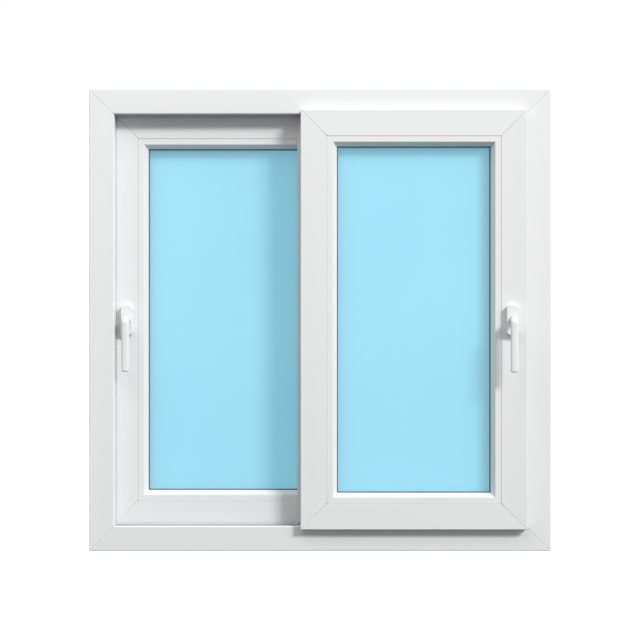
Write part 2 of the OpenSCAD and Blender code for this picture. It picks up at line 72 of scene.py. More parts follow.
# Lengths below are millimetres, as in the CAD source, unless a name ends in _m.
MM = 0.001
PLACES = ("bottom", "top", "left", "right")
SASHES = {"left": 0, "right": 8}    # each sash's overlap flange, outside its body
CHANNEL = (34, 48)                  # depths of the groove for the lock in a sash's edge
SCREW_DZ = 21.5                     # a handle's screws sit this far above and below its axis
SCREW_HOLE_R = 2.6
SPINDLE_HOLE_R = 6.5
GROOVE = 1.1                        # depth of the weld line at a mitre
GROOVE_HALF = 1.2                   # its width within one side
BEAD_GROOVE = 0.25                  # depth of the line where two beads meet
GASKET_GROOVE = 0.02


# ---------------------------------------------------------------- places, read from the frame

def box(*nodes):
    """Lowest and highest corner of these CAD nodes together, in millimetres."""
    corners = [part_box(n) for n in nodes]
    lo = [min(c[0][i] for c in corners) / MM for i in range(3)]
    hi = [max(c[1][i] for c in corners) / MM for i in range(3)]
    return lo, hi


def frame_rect():
    """The frame's outer rectangle seen from the room: x0, z0, x1, z1."""
    lo, hi = box("frame_sill", "frame_head", "frame_left_jamb", "frame_right_jamb")
    return lo[0], lo[2], hi[0], hi[2]


def sash_rect(side):
    """A sash's body without its flange: x0, z0, x1, z1."""
    flange = SASHES[side]
    lo, hi = box(f"{side}_sash_outer_stile", f"{side}_sash_meeting_stile")
    return lo[0] + flange, lo[2] + flange, hi[0] - flange, hi[2] - flange


def sash_face(side):
    """Depth of a sash's room face."""
    return box(f"{side}_sash_outer_stile")[0][1]


def handle_axis(side):
    """Where a lever's axis meets the face of its sash."""
    lo, hi = box(f"{side}_lever")
    radius = (hi[0] - lo[0]) / 2
    return Vector(((lo[0] + hi[0]) / 2, sash_face(side), hi[2] - radius))


# ---------------------------------------------------------------- outlines and meshes

def rounded(corners, steps=6):
    """A closed outline from (u, y, radius) corners, with an arc at each radius above zero."""
    points = []
    for i, (u, y, radius) in enumerate(corners):
        here = Vector((u, y))
        if radius <= 0:
            points.append(here)
            continue
        back = (Vector(corners[i - 1][:2]) - here).normalized()
        on = (Vector(corners[(i + 1) % len(corners)][:2]) - here).normalized()
        half = back.angle(on) / 2
        centre = here + (back + on).normalized() * (radius / math.sin(half))
        first = here + back * (radius / math.tan(half)) - centre
        last = here + on * (radius / math.tan(half)) - centre
        start = math.atan2(first.y, first.x)
        turn = math.atan2(last.y, last.x) - start
        turn = (turn + math.pi) % (2 * math.pi) - math.pi
        for k in range(steps + 1):
            angle = start + turn * k / steps
            points.append(centre + Vector((math.cos(angle), math.sin(angle))) * radius)
    return points


def rectangle(u0, y0, u1, y1, radius=0.6):
    """The outline of a hollow inside a profile."""
    return rounded([(u0, y0, radius), (u1, y0, radius), (u1, y1, radius), (u0, y1, radius)], 2)


def shrunk(points, by):
    """An outline moved inwards by a small distance."""
    count = len(points)
    area = sum(points[i].x * points[(i + 1) % count].y - points[(i + 1) % count].x * points[i].y
               for i in range(count))
    turn = 1 if area > 0 else -1
    moved = []
    for i, here in enumerate(points):
        a = (here - points[i - 1]).normalized()
        b = (points[(i + 1) % count] - here).normalized()
        inward = Vector((-a.y - b.y, a.x + b.x)) * turn
        inward.normalize()
        stretch = min(1.5, 1 / max(0.3, math.sqrt((1 + a.dot(b)) / 2)))
        moved.append(here + inward * by * stretch)
    return moved


class Shape:
    """Points and faces, in millimetres, that become one mesh object."""

    def __init__(self):
        self.points = []
        self.faces = []

    def add(self, points, faces):
        base = len(self.points)
        self.points += [Vector(p) for p in points]
        self.faces += [[base + i for i in f] for f in faces]

    def loft(self, rings, loop=False):
        """A skin over rings of equal length, with flat ends unless it closes on itself."""
        n = len(rings[0])
        faces = []
        for r in range(len(rings) if loop else len(rings) - 1):
            here, there = r * n, (r + 1) % len(rings) * n
            faces += [[here + i, here + (i + 1) % n, there + (i + 1) % n, there + i]
                      for i in range(n)]
        if not loop:
            faces.append(list(range(n)))
            faces.append([(len(rings) - 1) * n + i for i in range(n)])
        self.add([p for ring in rings for p in ring], faces)

    def block(self, lo, hi):
        x0, y0, z0 = lo
        x1, y1, z1 = hi
        self.loft([[(x0, y, z0), (x1, y, z0), (x1, y, z1), (x0, y, z1)] for y in (y0, y1)])

    def rod(self, axis, centre, radius, start, end, sides=40):
        """A round bar along an axis, 0 for X, 1 for Y and 2 for Z."""
        rings = []
        for along in (start, end):
            ring = []
            for k in range(sides):
                angle = 2 * math.pi * k / sides
                around = [math.cos(angle) * radius, math.sin(angle) * radius]
                around.insert(axis, 0)
                point = Vector(centre) + Vector(around)
                point[axis] = along
                ring.append(point)
            rings.append(ring)
        self.loft(rings)

    def side(self, rect, which, outline, holes=(), depth=0, groove=GROOVE):
        """One mitred side of a rectangle, from outlines of (distance inwards, depth)."""
        x0, z0, x1, z1 = rect
        rings = []
        for end, back, by in ((0, 0, groove), (0, GROOVE_HALF, 0), (1, GROOVE_HALF, 0), (1, 0, groove)):
            ring = []
            for u, y in shrunk(outline, by) if by else outline:
                ring.append(self.on_side(x0, z0, x1, z1, which, u, depth + y, end, back))
            for hole in holes:
                ring += [self.on_side(x0, z0, x1, z1, which, u, depth + y, end, back) for u, y in hole]
            rings.append(ring)
        n = len(rings[0])
        faces = []
        first = 0
        for loop in (outline, *holes):
            size = len(loop)
            for r in range(len(rings) - 1):
                here = r * n + first
                faces += [[here + i, here + (i + 1) % size, here + n + (i + 1) % size, here + n + i]
                          for i in range(size)]
            first += size
        flat = [[Vector((u, y, 0)) for u, y in loop] for loop in (shrunk(outline, groove), *holes)]
        ends = [list(t) for t in tessellate_polygon(flat)]
        faces += ends + [[(len(rings) - 1) * n + i for i in t] for t in ends]
        self.add([p for ring in rings for p in ring], faces)

    @staticmethod
    def on_side(x0, z0, x1, z1, which, u, y, end, back):
        """A point of a side's mitred end, u inwards from the edge and back from the mitre."""
        if which in ("bottom", "top"):
            x = x1 - u - back if end else x0 + u + back
            return Vector((x, y, z0 + u if which == "bottom" else z1 - u))
        z = z1 - u - back if end else z0 + u + back
        return Vector((x0 + u if which == "left" else x1 - u, y, z))

    def object(self, name):
        """A mesh object in the scene, in metres, with its faces turned outwards."""
        mesh = bpy.data.meshes.new(name)
        mesh.from_pydata([p * MM for p in self.points], [], self.faces)
        work = bmesh.new()
        work.from_mesh(mesh)
        bmesh.ops.recalc_face_normals(work, faces=work.faces)
        work.to_mesh(mesh)
        work.free()
        made = bpy.data.objects.new(name, mesh)
        bpy.context.scene.collection.objects.link(made)
        return made


def cut(piece, shape):
    """Takes a shape away from a piece."""
    cutter = shape.object("cutter")
    step = piece.modifiers.new("cut", "BOOLEAN")
    step.operation = "DIFFERENCE"
    step.solver = "EXACT"
    step.object = cutter
    graph = bpy.context.evaluated_depsgraph_get()
    result = bpy.data.meshes.new_from_object(piece.evaluated_get(graph))
    piece.modifiers.clear()
    piece.data = result
    bpy.data.objects.remove(cutter)


def smooth(piece, angle=34):
    """Rounded edges shade smoothly, flat faces stay flat."""
    for face in piece.data.polygons:
        face.use_smooth = True
    piece.data.set_sharp_from_angle(angle=math.radians(angle))
    step = piece.modifiers.new("normals", "WEIGHTED_NORMAL")
    step.keep_sharp = True


def dress(piece, body, slot, material, *nodes):
    """Gives a piece its material and its body, and hides the CAD nodes that it stands for; the slot
    argument is not used.
    """
    piece.data.materials.clear()
    piece.data.materials.append(material)
    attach(piece, body)
    if nodes:
        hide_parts(*nodes)


def carry_over(node, material, width):
    """A CAD node keeps its shape, with its sharp edges eased and its own material."""
    shown = frame["nodes"][node]
    slots = shown.data.materials
    if not slots:
        slots.append(material)
    for place in range(len(slots)):
        slots[place] = material
    weld = shown.modifiers.new("weld", "WELD")
    weld.merge_threshold = 0.00001
    flat = shown.modifiers.new("flat", "DECIMATE")
    flat.decimate_type = "DISSOLVE"
    flat.angle_limit = math.radians(0.5)
    eased = shown.modifiers.new("bevel", "BEVEL")
    eased.width = width * MM
    eased.segments = 2
    eased.limit_method = "ANGLE"
    eased.angle_limit = math.radians(40)
    eased.harden_normals = True


# ---------------------------------------------------------------- materials

def new_material(name):
    """A material with its nodes, its links and its shader."""
    made = bpy.data.materials.new(name)
    made.use_nodes = True
    return made, made.node_tree.nodes, made.node_tree.links, made.node_tree.nodes["Principled BSDF"]


def noise(nodes, links, scale, stretch=(1, 1, 1), detail=4.0):
    """Noise over the object's own space. The scale is in features per metre."""
    place = nodes.new("ShaderNodeTexCoord")
    mapping = nodes.new("ShaderNodeMapping")
    mapping.inputs["Scale"].default_value = stretch
    texture = nodes.new("ShaderNodeTexNoise")
    texture.inputs["Scale"].default_value = scale
    texture.inputs["Detail"].default_value = detail
    links.new(place.outputs["Object"], mapping.inputs["Vector"])
    links.new(mapping.outputs["Vector"], texture.inputs["Vector"])
    return texture.outputs["Fac"]


def ranged(nodes, links, source, low, high):
    """A value that follows a texture from low to high."""
    step = nodes.new("ShaderNodeMapRange")
    step.inputs["From Min"].default_value = 0.3
    step.inputs["From Max"].default_value = 0.7
    step.inputs["To Min"].default_value = low
    step.inputs["To Max"].default_value = high
    links.new(source, step.inputs["Value"])
    return step.outputs["Result"]


def tinted(nodes, links, source, dark, light):
    """A colour that follows a texture from dark to light."""
    step = nodes.new("ShaderNodeMix")
    step.data_type = "RGBA"
    step.inputs["A"].default_value = (*dark, 1)
    step.inputs["B"].default_value = (*light, 1)
    links.new(ranged(nodes, links, source, 0, 1), step.inputs["Factor"])
    return step.outputs["Result"]


def surface(name, dark, light, rough, patch, fine, bump, stretch=(1, 1, 1), metallic=0.0):
    """A material whose colour varies over patches, and its gloss and relief over a fine grain."""
    made, nodes, links, shader = new_material(name)
    patches = noise(nodes, links, patch, stretch)
    grain = noise(nodes, links, fine, stretch, 2.0)
    relief = nodes.new("ShaderNodeBump")
    relief.inputs["Strength"].default_value = bump
    relief.inputs["Distance"].default_value = 0.0001
    links.new(grain, relief.inputs["Height"])
    links.new(tinted(nodes, links, patches, dark, light), shader.inputs["Base Color"])
    links.new(ranged(nodes, links, grain, *rough), shader.inputs["Roughness"])
    links.new(relief.outputs["Normal"], shader.inputs["Normal"])
    shader.inputs["Metallic"].default_value = metallic
    return made


def grey(value, cool=0.0):
    """A grey, with a little more blue and less red where it is cool."""
    return (value * (1 - cool), value, value * (1 + cool))


def along(axis, much=0.03):
    """A stretch that draws streaks out along an axis, as extrusion and rolling leave them."""
    return tuple(much if i == axis else 1 for i in range(3))


def pvc(name, axis):
    """White plastic, extruded along an axis."""
    return surface(name, grey(0.83, 0.002), grey(0.855, 0.002), (0.30, 0.40), 14, 420, 0.10, along(axis))


def galvanised_steel():
    """Zinc coated steel, with its crystals as cells of differing grey."""
    made, nodes, links, shader = new_material("galvanised_steel")
    place = nodes.new("ShaderNodeTexCoord")
    cells = nodes.new("ShaderNodeTexVoronoi")
    cells.inputs["Scale"].default_value = 260
    links.new(place.outputs["Object"], cells.inputs["Vector"])
    shade = nodes.new("ShaderNodeSeparateColor")
    links.new(cells.outputs["Color"], shade.inputs["Color"])
    links.new(tinted(nodes, links, shade.outputs["Red"], grey(0.42, 0.02), grey(0.62, 0.02)),
              shader.inputs["Base Color"])
    links.new(ranged(nodes, links, shade.outputs["Green"], 0.32, 0.5), shader.inputs["Roughness"])
    shader.inputs["Metallic"].default_value = 0.9
    return made


def pane_glass(name, dark, light, alpha, rough, glow=0.0):
    """Glass with a plain opacity, a faint drift of tint, and a painted glow that stands in for the bright
    backdrop behind it.
    """
    made, nodes, links, shader = new_material(name)
    drift = noise(nodes, links, 2.2, (1, 1, 1), 1.0)
    links.new(tinted(nodes, links, drift, dark, light), shader.inputs["Base Color"])
    shader.inputs["Roughness"].default_value = rough
    shader.inputs["Alpha"].default_value = alpha
    shader.inputs["IOR"].default_value = 1.5
    # Painted light: this emission makes a pane glow blue as if lit from behind, though it is no lamp.
    shader.inputs["Emission Color"].default_value = (0.30, 0.77, 1.0, 1)
    shader.inputs["Emission Strength"].default_value = glow
    return made


PVC_X = pvc("pvc_along_x", 0)
PVC_Z = pvc("pvc_along_z", 2)
CAP = surface("cap_plastic", grey(0.84), grey(0.87), (0.25, 0.35), 40, 700, 0.05)
ENAMEL = surface("handle_enamel", grey(0.84), grey(0.87), (0.16, 0.24), 30, 500, 0.06)
STEEL = galvanised_steel()
SCREW = surface("screw_steel", grey(0.5), grey(0.62), (0.25, 0.4), 300, 2500, 0.2, metallic=1.0)
RAIL = surface("rail_aluminium", grey(0.62, 0.01), grey(0.72, 0.01), (0.28, 0.42), 20, 1500, 0.15,
               along(0), 1.0)
SPACER = surface("spacer_aluminium", grey(0.5, 0.01), grey(0.6, 0.01), (0.3, 0.45), 60, 1500, 0.1,
                 metallic=1.0)
INTERLOCK = surface("interlock_coating", grey(0.80), grey(0.85), (0.32, 0.45), 12, 900, 0.12, along(2))
PILE = surface("brush_pile", grey(0.46), grey(0.66), (0.85, 1.0), 700, 4000, 0.6)
BUFFER = surface("buffer_rubber", grey(0.035), grey(0.05), (0.6, 0.8), 60, 1800, 0.3)
SEAL = surface("seal_rubber", grey(0.12, 0.03), grey(0.16, 0.03), (0.5, 0.7), 40, 2500, 0.25)
NYLON = surface("roller_nylon", (0.10, 0.10, 0.11), (0.14, 0.14, 0.15), (0.35, 0.5), 120, 1500, 0.15)
GUIDE = surface("guide_nylon", grey(0.62), grey(0.70), (0.4, 0.55), 80, 1500, 0.15)
ZINC = surface("gearbox_zinc", grey(0.42, 0.01), grey(0.55, 0.01), (0.4, 0.55), 180, 1200, 0.3,
               metallic=0.9)
PINION = surface("pinion_steel", (0.45, 0.37, 0.2), (0.62, 0.52, 0.3), (0.3, 0.45), 300, 2200, 0.2,
                 metallic=0.9)
INNER_GLASS = pane_glass("inner_glass", (0.75, 0.9, 0.95), (0.8, 0.95, 0.98), 0.06, 0.02)
# The outer pane's glow of 0.40 is painted light for the bright backdrop seen through the tinted glass.
OUTER_GLASS = pane_glass("outer_glass", (0.235, 0.49, 0.58), (0.25, 0.51, 0.60), 0.93, 0.08, 0.40)


# ---------------------------------------------------------------- frame

def frame_outline():
    """A frame side's section, with a channel for each track between its lips."""
    return rounded([
        (0, 0, 1.8), (54, 0, 3.2), (54, 10, 0.8), (38, 10, 0.6), (38, 62, 0.6), (50, 62, 1.0),
        (50, 72, 1.0), (38, 72, 0.6), (38, 100, 0.6), (54, 100, 0.8), (54, 120, 3.2), (0, 120, 1.8),
    ])


FRAME_CHAMBERS = [
    rectangle(2.5, 2.5, 35.5, 32.5), rectangle(2.5, 35, 35.5, 75), rectangle(2.5, 77.5, 35.5, 117.5),
    rectangle(38.5, 2.8, 50.5, 7.5), rectangle(38.5, 64.5, 47.5, 69.5), rectangle(38.5, 102.5, 50.5, 117),
]
FRAME_SIDES = {
    "bottom": "frame_sill", "top": "frame_head", "left": "frame_left_jamb", "right": "frame_right_jamb",
}


def frame_members():
    """The four mitred sides of the frame, with the drain slots and the wall screws' holes."""
    depth = box("frame_head")[0][1]
    for side, node in FRAME_SIDES.items():
        shape = Shape()
        shape.side(frame_rect(), side, frame_outline(), FRAME_CHAMBERS, depth)
        piece = shape.object(f"{node}_profile")
        if side == "bottom":
            cut(piece, drain_slots())
        if side in ("left", "right"):
            cut(piece, wall_screw_holes(side))
        smooth(piece)
        dress(piece, "frame", "frame_pvc", PVC_X if side in ("bottom", "top") else PVC_Z, node)


def drain_slots():
    """Slots through the sill's channel floor and its outside wall, in line with the drain covers."""
    shape = Shape()
    outside = box("frame_sill")[1][1]
    for flap in ("drain_flap_left", "drain_flap_right"):
        lo, hi = box(flap)
        x = (lo[0] + hi[0]) / 2
        wall_half, floor_half = 15, 12
        shape.block((x - wall_half, outside - 4, 17), (x + wall_half, outside + 1, 22))
        for y in (outside - 80, outside - 30):
            shape.block((x - floor_half, y, 34.5), (x + floor_half, y + 6, 39))
    return shape


def wall_screw_holes(side):
    """Holes for the wall screws, through a jamb from its edge to its channel."""
    shape = Shape()
    x0, z0, x1, z1 = frame_rect()
    edge, inwards = (x0, 1) if side == "left" else (x1, -1)
    mount = next(m for m in frame["record"]["mounts"] if m["name"] == f"{side}_wall_fixings")
    hole = mount["dims"]
    y = mount["pos_m"][1] / MM
    middle = (z0 + z1) / 2
    for z in (middle - hole["spacing_y_mm"] / 2, middle + hole["spacing_y_mm"] / 2):
        ends = sorted((edge - inwards, edge + 39 * inwards))
        shape.rod(0, (0, y, z), hole["hole_r_mm"], *ends)
    return shape


def jamb_cover():
    """The clip-in strip that closes the front channel of the left jamb."""
    lo, hi = box("left_jamb_cover")
    wall = 2
    outer = rounded([(lo[0], lo[1], 0.6), (hi[0], lo[1], 1.6), (hi[0], hi[1], 1.2), (lo[0], hi[1], 0.6)])
    inner = rounded([(lo[0] + wall, lo[1] + wall, 0.6), (hi[0] - wall, lo[1] + wall, 0.6),
                     (hi[0] - wall, hi[1] - wall, 0.6), (lo[0] + wall, hi[1] - wall, 0.6)])
    shape = Shape()
    shape.loft([[(x, y, z) for x, y in ring] for ring, z in
                ((outer, lo[2]), (outer, hi[2]), (inner, hi[2]), (inner, lo[2]))], loop=True)
    piece = shape.object("left_jamb_cover_strip")
    smooth(piece)
    dress(piece, "frame", "frame_pvc", PVC_Z, "left_jamb_cover")


def drain_cover_hoods():
    """A rounded bezel round each flap's opening."""
    bezel_half_w, bezel_corner = 28, 3
    opening_half_w, opening_half_h = 20.5, 6.2
    shape = Shape()
    lo, hi = box("drain_covers")
    for flap in ("drain_flap_left", "drain_flap_right"):
        flap_lo, flap_hi = box(flap)
        x = (flap_lo[0] + flap_hi[0]) / 2
        half = (hi[2] - lo[2]) / 2
        middle = (hi[2] + lo[2]) / 2
        rings = []
        for y, shrink in ((lo[1], 0), (hi[1] - 1.6, 0), (hi[1] - 0.5, 0.5), (hi[1], 1.6)):
            rings.append(plate_ring(x, middle, bezel_half_w - shrink, half - shrink,
                                    bezel_corner - shrink / 2, y))
        for y, grow in ((hi[1], 0.5), (hi[1] - 0.6, 0), (lo[1], 0)):
            rings.append(plate_ring(x, middle + 0.2, opening_half_w + grow, opening_half_h + grow, 1, y))
        shape.loft(rings, loop=True)
    piece = shape.object("drain_cover_hoods")
    smooth(piece)
    dress(piece, "frame", "cap_plastic", CAP, "drain_covers")


def plate_ring(x, z, half_w, half_h, radius, y, corner_points=8):
    """A rectangle with rounded corners, or a circle, as a ring that faces along Y."""
    ring = []
    for corner, (sx, sz) in enumerate(((1, 1), (-1, 1), (-1, -1), (1, -1))):
        for k in range(corner_points):
            angle = math.pi / 2 * (corner + (k + 0.5) / corner_points)
            ring.append(Vector((x + sx * (half_w - radius) + radius * math.cos(angle), y,
                                z + sz * (half_h - radius) + radius * math.sin(angle))))
    return ring


# ---------------------------------------------------------------- pile seals

def tuft_row(shape, dice, start, end, out, across, height, width):
    """Two lanes of short tufts from start to end. They stand along out and spread along across."""
    pitch = 1.6
    run = Vector(end) - Vector(start)
    count = int(run.length / pitch)
    step = run / count
    thick = step * 0.36
    for k in range(count):
        for lane in (-0.28, 0.28):
            base = Vector(start) + step * (k + 0.5) + across * lane * width
            tall = height * dice.uniform(0.86, 1.0)
            lean = step * dice.uniform(-0.25, 0.25)
            rings = []
            for share, size in ((0, 1), (0.6, 0.95), (1, 0.55)):
                middle = base + out * tall * share + lean * share
                side = across * width * 0.2 * size
                front = thick * size
                rings.append([middle - side - front, middle + side - front,
                              middle + side + front, middle - side + front])
            shape.loft(rings)


def frame_pile():
    """The pile strips between the two tracks, at the sill, the head and the left jamb."""
    dice = random.Random(11)
    lo, hi = box("frame_brush_seals")
    x0, z0, _, z1 = sash_rect("left")
    shape = Shape()
    middle = (lo[1] + hi[1]) / 2
    width = hi[1] - lo[1]
    backing = 1.2
    gap = 0.5
    across = Vector((0, 1, 0))
    rows = (
        ((-hi[0], middle, lo[2]), (hi[0], middle, lo[2]), Vector((0, 0, 1)), z0 - gap - lo[2]),
        ((-hi[0], middle, hi[2]), (hi[0], middle, hi[2]), Vector((0, 0, -1)), hi[2] - z1 - gap),
        ((lo[0], middle, z0 + 2), (lo[0], middle, z1 - 2), Vector((1, 0, 0)), x0 - gap - lo[0]),
    )
    for start, end, out, height in rows:
        corner = Vector(start) - across * width / 2
        far = Vector(end) + across * width / 2 + out * backing
        shape.block([min(pair) for pair in zip(corner, far)], [max(pair) for pair in zip(corner, far)])
        tuft_row(shape, dice, start, end, out, across, height, width)
    piece = shape.object("frame_pile_strips")
    dress(piece, "frame", "brush_pile", PILE, "frame_brush_seals")


# ---------------------------------------------------------------- sashes

def sash_outline(flange):
    """Face, glass rebate, outside lip, and the lock's groove in the edge."""
    near, far = CHANNEL
    corners = [
        (49, 0, 0.5), (49, 44, 0.5), (70, 44, 1.5), (70, 52, 1.5), (0, 52, 1.0), (0, far, 0.5),
        (24, far, 0.6), (24, near, 0.6), (0, near, 0.5),
    ]
    if flange:
        return rounded([(-flange, 0, 2.2), *corners, (0, 19, 0.4), (-flange, 19, 1.0)])
    return rounded([(0, 0, 2.2), *corners])


SASH_CHAMBERS = [rectangle(3, 3, 46, 31), rectangle(27, 34, 46, 49), rectangle(50, 46.5, 67.5, 49.5)]
BEAD_OUTLINE = rounded([
    (49.3, 0.9, 0.4), (62, 0.9, 2.2), (70.5, 14.5, 0.9), (70.5, 18, 0.3), (49.3, 18, 0.3)])
BEAD_HOLLOW = rounded([
    (51, 3.3, 0.3), (61, 3.3, 0.6), (67.5, 14, 0.3), (67.5, 16.2, 0.3), (51, 16.2, 0.3)], 2)
INNER_GASKET = rounded([
    (62, 18, 0), (70.4, 18, 0.4), (71.6, 18.1, 0.5), (73, 19.4, 0.7), (73, 21, 0.2), (62, 21, 0)], 3)
OUTER_GASKET = rounded([
    (60, 41, 0), (71.5, 41, 0.2), (71.5, 42.4, 0.7), (70, 44, 0.5), (60, 44, 0)], 3)
PILE_BACKING = [Vector(p) for p in ((-6.6, 19), (-4.4, 19), (-4.4, 19.8), (-6.6, 19.8))]


def sash_members(side):
    """The four mitred sides of a sash."""
    flange = SASHES[side]
    outer = "left" if side == "left" else "right"
    meeting = "right" if side == "left" else "left"
    places = {"top": "top_rail", "bottom": "bottom_rail", outer: "outer_stile", meeting: "meeting_stile"}
    for place, part in places.items():
        shape = Shape()
        shape.side(sash_rect(side), place, sash_outline(flange), SASH_CHAMBERS, sash_face(side))
        piece = shape.object(f"{side}_{part}_profile")
        if part == "outer_stile":
            cut(piece, lock_pocket(side))
        smooth(piece)
        look = PVC_X if "rail" in part else PVC_Z
        dress(piece, f"{side}_sash", "sash_pvc", look, f"{side}_sash_{part}")


def lock_pocket(side):
    """Room in the outer stile for the spindle, the handle's screws and the gearbox."""
    axis = handle_axis(side)
    lo, hi = box(f"{side}_gearbox")
    shape = Shape()
    shape.rod(1, axis, SPINDLE_HOLE_R, axis.y - 1, lo[1] + 0.5)
    for dz in (-SCREW_DZ, SCREW_DZ):
        shape.rod(1, axis + Vector((0, 0, dz)), SCREW_HOLE_R, axis.y - 1, axis.y + 5)
    edge = sash_rect(side)[0] - 1 if side == "left" else sash_rect(side)[2] + 1
    x0 = min(lo[0] - 0.5, edge)
    x1 = max(hi[0] + 0.5, edge)
    near, far = (sash_face(side) + depth for depth in CHANNEL)
    shape.block((x0, near, lo[2] - 1), (x1, far, hi[2] + 1))
    return shape


def ring_round(shape, side, outline, holes, groove):
    """Four mitred sides round a sash, added to a shape."""
    for place in PLACES:
        shape.side(sash_rect(side), place, outline, holes, sash_face(side), groove)


def glazing(side):
    """The beads of a sash, and the gaskets on both faces of its glass."""
    shape = Shape()
    ring_round(shape, side, BEAD_OUTLINE, [BEAD_HOLLOW], BEAD_GROOVE)
    beads = shape.object(f"{side}_glazing_bead_frame")
    smooth(beads)
    dress(beads, f"{side}_sash", "bead_pvc", PVC_Z, f"{side}_glazing_beads")
    shape = Shape()
    for outline in (INNER_GASKET, OUTER_GASKET):
        ring_round(shape, side, outline, (), GASKET_GROOVE)
    gaskets = shape.object(f"{side}_glazing_gaskets")
    smooth(gaskets)
    dress(gaskets, f"{side}_sash", "seal_rubber", SEAL, f"{side}_seals")


def edge_lip():
    """A lip along the rear sash's outer edges, which runs behind the lip of the frame."""
    x0, z0, x1, z1 = sash_rect("left")
    face = sash_face("left")
    section = rounded([(-4, 1.0, 0.8), (0.5, 0.8, 0), (0.5, 4.5, 0), (-4, 3.4, 0.8)])
    shape = Shape()
    shape.loft([
        [(x1, face + y, z0 + u) for u, y in section],
        [(x0 + u, face + y, z0 + u) for u, y in section],
        [(x0 + u, face + y, z1 - u) for u, y in section],
        [(x1, face + y, z1 - u) for u, y in section],
    ])
    piece = shape.object("left_edge_lip")
    smooth(piece)
    dress(piece, "left_sash", "sash_pvc", PVC_X)


def flange_pile():
    """The pile strip behind the front sash's flange."""
    dice = random.Random(7)
    shape = Shape()
    ring_round(shape, "right", PILE_BACKING, (), 0)
    x0, z0, x1, z1 = sash_rect("right")
    y = sash_face("right") + 19.6
    out = Vector((0, 1, 0))
    reach = 5.5
    height, width = 2.0, 2.6
    corners = {}
    for end_x, x in (("left", x0 - reach), ("right", x1 + reach)):
        for end_z, z in (("low", z0 - reach), ("high", z1 + reach)):
            corners[end_x, end_z] = (x, y, z)
    rows = [(corners["left", z], corners["right", z], Vector((0, 0, 1))) for z in ("low", "high")]
    rows += [(corners[x, "low"], corners[x, "high"], Vector((1, 0, 0))) for x in ("left", "right")]
    for start, end, across in rows:
        tuft_row(shape, dice, start, end, out, across, height, width)
    piece = shape.object("right_flange_pile")
    dress(piece, "right_sash", "brush_pile", PILE)


# ---------------------------------------------------------------- handles

def handle_cover(side):
    """The cap over the handle's base, with eased edges and a raised boss round the hub."""
    axis = handle_axis(side)
    lo, hi = box(f"{side}_handle_cap")
    front = lo[1] - axis.y
    back = -front
    half_w = (hi[0] - lo[0]) / 2
    half_h = (hi[2] - lo[2]) / 2
    # Rings of depth behind the boss, half width, half height and corner radius.
    outside = [(depth, half_w - inset, half_h - inset, corner) for depth, inset, corner in (
        (back, 0, 9), (2.4, 0, 9), (1.4, 0.3, 8.8), (0.8, 0.9, 8.5), (0.5, 1.9, 8))]
    face = [(0.4, 10.9, 20, 8.5), (0.4, 10.6, 13, 9)]
    boss = [(depth, radius, radius, radius) for depth, radius in (
        (0.35, 10.4), (0.05, 10.1), (0, 9.6), (0, 8.8), (0.3, 8.35), (2, 8.35))]
    inside = [(2.8, half_w - 2.2, half_h - 2.2, 7), (back, half_w - 1.9, half_h - 2, 7.1)]
    shape = Shape()
    shape.loft([plate_ring(axis.x, axis.z, w, h, corner, axis.y + front + depth, 10)
                for depth, w, h, corner in outside + face + boss + inside], loop=True)
    piece = shape.object(f"{side}_handle_cover")
    smooth(piece, 40)
    dress(piece, f"{side}_sash", "handle_enamel", ENAMEL, f"{side}_handle_cap")


def lever_ring(axis, centre_y, centre_z, angle, half_w, front, back, power):
    """A ring across the lever. The angle turns from 0, towards the room, to 90 degrees, downwards."""
    points = 40
    ring = []
    for k in range(points):
        t = 2 * math.pi * k / points
        c, s = math.cos(t), math.sin(t)
        x = half_w * math.copysign(abs(c) ** (2 / power), c)
        out = (front if s > 0 else back) * math.copysign(abs(s) ** (2 / power), s)
        ring.append(axis + Vector((x, centre_y - out * math.sin(angle), centre_z + out * math.cos(angle))))
    return ring


def lever(side):
    """Hub, slim neck, elbow and grip in one smooth skin."""
    axis = handle_axis(side)
    lo = box(f"{side}_lever")[0]
    proud = axis.y - lo[1]
    length = axis.z - lo[2]
    bend = 8.6
    tip = 4
    elbow_r = 7.9
    grip_front, grip_back = 5.6, 4.6
    grip_y = -proud + grip_front + 0.1
    elbow_y = grip_y + bend
    neck = ((-0.6, elbow_r), (-15.2, elbow_r), (-15.9, 7.5), (-16.6, 7.0), (-22, 6.9), (-29, 7.2),
            (elbow_y, elbow_r))
    rings = [lever_ring(axis, y, 0, 0, r, r, r, 2) for y, r in neck]
    elbow_steps, grip_steps, tip_steps = 10, 12, 6
    for k in range(1, elbow_steps + 1):
        share = k / elbow_steps
        angle = share * math.pi / 2
        front = elbow_r + (grip_front - elbow_r) * share
        back = elbow_r + (grip_back - elbow_r) * share
        y = elbow_y - bend * math.sin(angle)
        z = bend * math.cos(angle) - bend
        rings.append(lever_ring(axis, y, z, angle, elbow_r + 0.3 * share, front, back, 2 + 0.6 * share))
    straight = length - tip - bend
    for k in range(1, grip_steps + 1):
        share = k / grip_steps
        swell = math.sin(math.pi * share)
        half_w = 8.2 + 0.28 * swell - 0.3 * share
        rings.append(lever_ring(axis, grip_y + 0.25 * swell, -bend - straight * share, math.pi / 2, half_w,
                                grip_front - 0.4 * share, grip_back - 0.9 * share, 2.6 + 0.2 * share))
    for k in range(1, tip_steps + 1):
        angle = math.pi / 2 * k / tip_steps
        shrink = 1 - 0.45 * (1 - math.cos(angle))
        rings.append(lever_ring(axis, grip_y, -length + tip - tip * math.sin(angle), math.pi / 2,
                                7.9 * shrink, 5.2 * shrink, 3.7 * shrink, 2.8))
    shape = Shape()
    shape.loft(rings)
    piece = shape.object(f"{side}_lever_grip")
    smooth(piece, 50)
    dress(piece, f"{side}_handle", "handle_enamel", ENAMEL, f"{side}_lever")


# ---------------------------------------------------------------- CAD nodes that stay

